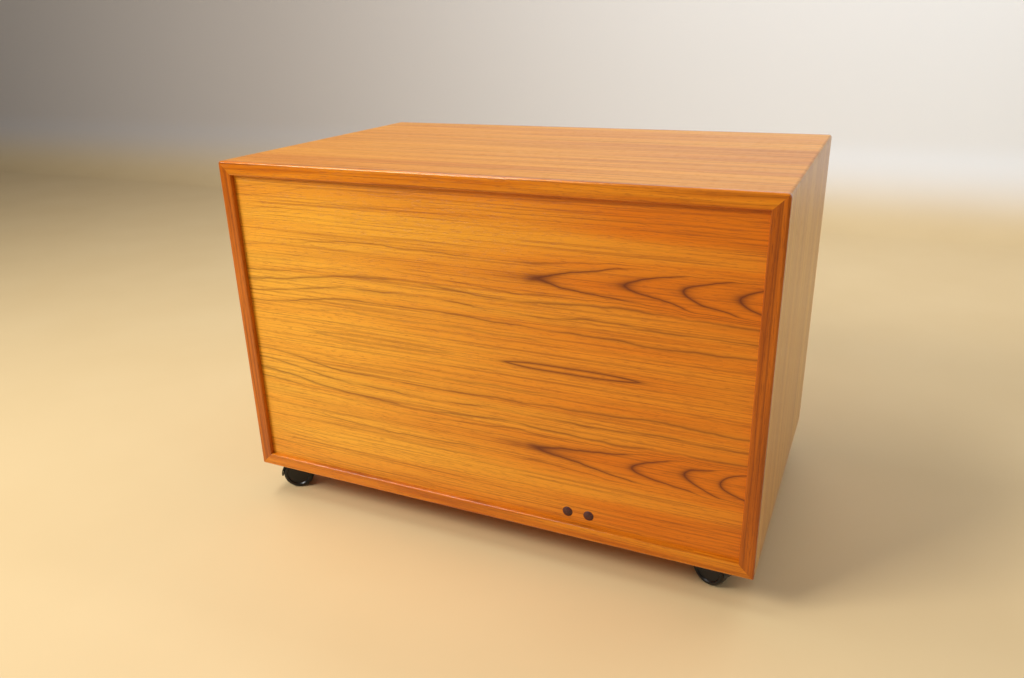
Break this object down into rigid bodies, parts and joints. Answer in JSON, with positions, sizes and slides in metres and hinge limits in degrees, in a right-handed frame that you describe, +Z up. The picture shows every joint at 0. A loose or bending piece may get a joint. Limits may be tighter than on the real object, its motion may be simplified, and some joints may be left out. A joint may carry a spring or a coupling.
{
  "type": "sewing table",
  "caption": "Low mitred teak sewing cabinet on twin-wheel castors, with a finished back, a roll-out machine carriage, a pull-out leaf and drawers.",
  "frame": {"origin": "on the floor under the middle of the case", "axes": "+Z up, +X along the length, the working front faces -Y and the finished back faces +Y"},
  "size_m": [0.8, 0.5, 0.555],
  "materials": {
    "beech": "sealed solid wood",
    "birch_ply": "sealed plywood",
    "black_gloss_plastic": "glossy",
    "black_wheel": "dull",
    "dark_plug": "satin",
    "hardwood_runner": "waxed hardwood",
    "teak_back_veneer": "satin lacquer, book-matched flame figure",
    "teak_front_lipping": "solid teak, satin lacquer",
    "teak_front_veneer": "satin lacquer, grain across the fronts",
    "teak_leaf": "satin lacquer",
    "teak_lengthwise": "satin lacquer, grain along the length",
    "teak_lipping_rail": "solid teak, satin lacquer",
    "teak_lipping_stile": "solid teak, satin lacquer",
    "teak_upright": "satin lacquer, grain upright",
    "zinc_steel": "zinc plated"
  },
  "bodies": {
    "case": {"back_lipping_rails": "teak_lipping_rail", "back_lipping_stiles": "teak_lipping_stile", "back_panel": "teak_back_veneer", "back_plugs": "dark_plug", "carriage_runners": "hardwood_runner", "case_bottom": "teak_lengthwise", "case_side_left": "teak_upright", "case_side_right": "teak_upright", "case_top": "teak_lengthwise", "castor_1_plate": "zinc_steel", "castor_2_plate": "zinc_steel", "castor_3_plate": "zinc_steel", "castor_4_plate": "zinc_steel", "castor_screws": "zinc_steel", "divider": "teak_upright", "divider_dowels": "hardwood_runner", "divider_lipping": "teak_lipping_stile", "drawer_runners": "hardwood_runner", "front_lipping": "teak_front_lipping", "leaf_runners": "hardwood_runner", "mitre_splines": "hardwood_runner", "runner_screws": "zinc_steel"},
    "carriage": {"carriage_front": "teak_front_veneer", "carriage_sides": "beech", "carriage_back": "beech", "carriage_platform": "birch_ply", "carriage_braces": "beech"},
    "drawer_1": {"drawer_1_front": "teak_front_veneer", "drawer_1_sides": "beech", "drawer_1_back": "beech", "drawer_1_bottom": "birch_ply", "tray_ledges": "beech"},
    "drawer_2": {"drawer_2_front": "teak_front_veneer", "drawer_2_sides": "beech", "drawer_2_back": "beech", "drawer_2_bottom": "birch_ply"},
    "drawer_3": {"drawer_3_front": "teak_front_veneer", "drawer_3_sides": "beech", "drawer_3_back": "beech", "drawer_3_bottom": "birch_ply"},
    "tray": {"thread_tray": "beech", "thread_pegs": "beech"},
    "leaf": {"leaf_board": "teak_leaf", "leaf_lipping": "teak_lipping_rail"},
    "swivel_1": {"castor_1_hood": "black_gloss_plastic", "castor_1_axle": "zinc_steel"},
    "wheel_1a": {"castor_1_wheel_a": "black_wheel"},
    "wheel_1b": {"castor_1_wheel_b": "black_wheel"},
    "swivel_2": {"castor_2_hood": "black_gloss_plastic", "castor_2_axle": "zinc_steel"},
    "wheel_2a": {"castor_2_wheel_a": "black_wheel"},
    "wheel_2b": {"castor_2_wheel_b": "black_wheel"},
    "swivel_3": {"castor_3_hood": "black_gloss_plastic", "castor_3_axle": "zinc_steel"},
    "wheel_3a": {"castor_3_wheel_a": "black_wheel"},
    "wheel_3b": {"castor_3_wheel_b": "black_wheel"},
    "swivel_4": {"castor_4_hood": "black_gloss_plastic", "castor_4_axle": "zinc_steel"},
    "wheel_4a": {"castor_4_wheel_a": "black_wheel"},
    "wheel_4b": {"castor_4_wheel_b": "black_wheel"}
  },
  "joints": [
    {"name": "drawer_1_slide", "type": "slide", "parent": "case", "child": "drawer_1", "axis": [0, -1, 0], "range_m": [0, 0.36]},
    {"name": "drawer_1_tray_slide", "type": "slide", "parent": "drawer_1", "child": "tray", "axis": [0, 1, 0], "range_m": [0, 0.25]},
    {"name": "drawer_2_slide", "type": "slide", "parent": "case", "child": "drawer_2", "axis": [0, -1, 0], "range_m": [0, 0.36]},
    {"name": "drawer_3_slide", "type": "slide", "parent": "case", "child": "drawer_3", "axis": [0, -1, 0], "range_m": [0, 0.36]},
    {"name": "leaf_slide", "type": "slide", "parent": "case", "child": "leaf", "axis": [0, -1, 0], "range_m": [0, 0.3]},
    {"name": "machine_carriage_slide", "type": "slide", "parent": "case", "child": "carriage", "axis": [0, -1, 0], "range_m": [0, 0.36]},
    {"name": "swivel_1", "type": "hinge", "parent": "case", "child": "swivel_1", "pos_m": [0.354, 0.195, 0.045], "axis": [0, 0, 1], "continuous": true},
    {"name": "wheel_1a", "type": "hinge", "parent": "swivel_1", "child": "wheel_1a", "pos_m": [0.36548, 0.2011, 0.025], "axis": [-0.4695, 0.8829, 0], "continuous": true},
    {"name": "wheel_1b", "type": "hinge", "parent": "swivel_1", "child": "wheel_1b", "pos_m": [0.36548, 0.2011, 0.025], "axis": [-0.4695, 0.8829, 0], "continuous": true},
    {"name": "swivel_2", "type": "hinge", "parent": "case", "child": "swivel_2", "pos_m": [-0.354, 0.195, 0.045], "axis": [0, 0, 1], "continuous": true},
    {"name": "wheel_2a", "type": "hinge", "parent": "swivel_2", "child": "wheel_2a", "pos_m": [-0.34186, 0.19034, 0.025], "axis": [0.3584, 0.9336, 0], "continuous": true},
    {"name": "wheel_2b", "type": "hinge", "parent": "swivel_2", "child": "wheel_2b", "pos_m": [-0.34186, 0.19034, 0.025], "axis": [0.3584, 0.9336, 0], "continuous": true},
    {"name": "swivel_3", "type": "hinge", "parent": "case", "child": "swivel_3", "pos_m": [-0.354, -0.195, 0.045], "axis": [0, 0, 1], "continuous": true},
    {"name": "wheel_3a", "type": "hinge", "parent": "swivel_3", "child": "wheel_3a", "pos_m": [-0.3412, -0.19726, 0.025], "axis": [0.1736, 0.9848, 0], "continuous": true},
    {"name": "wheel_3b", "type": "hinge", "parent": "swivel_3", "child": "wheel_3b", "pos_m": [-0.3412, -0.19726, 0.025], "axis": [0.1736, 0.9848, 0], "continuous": true},
    {"name": "swivel_4", "type": "hinge", "parent": "case", "child": "swivel_4", "pos_m": [0.354, -0.195, 0.045], "axis": [0, 0, 1], "continuous": true},
    {"name": "wheel_4a", "type": "hinge", "parent": "swivel_4", "child": "wheel_4a", "pos_m": [0.36672, -0.1923, 0.025], "axis": [-0.2079, 0.9781, 0], "continuous": true},
    {"name": "wheel_4b", "type": "hinge", "parent": "swivel_4", "child": "wheel_4b", "pos_m": [0.36672, -0.1923, 0.025], "axis": [-0.2079, 0.9781, 0], "continuous": true}
  ]
}
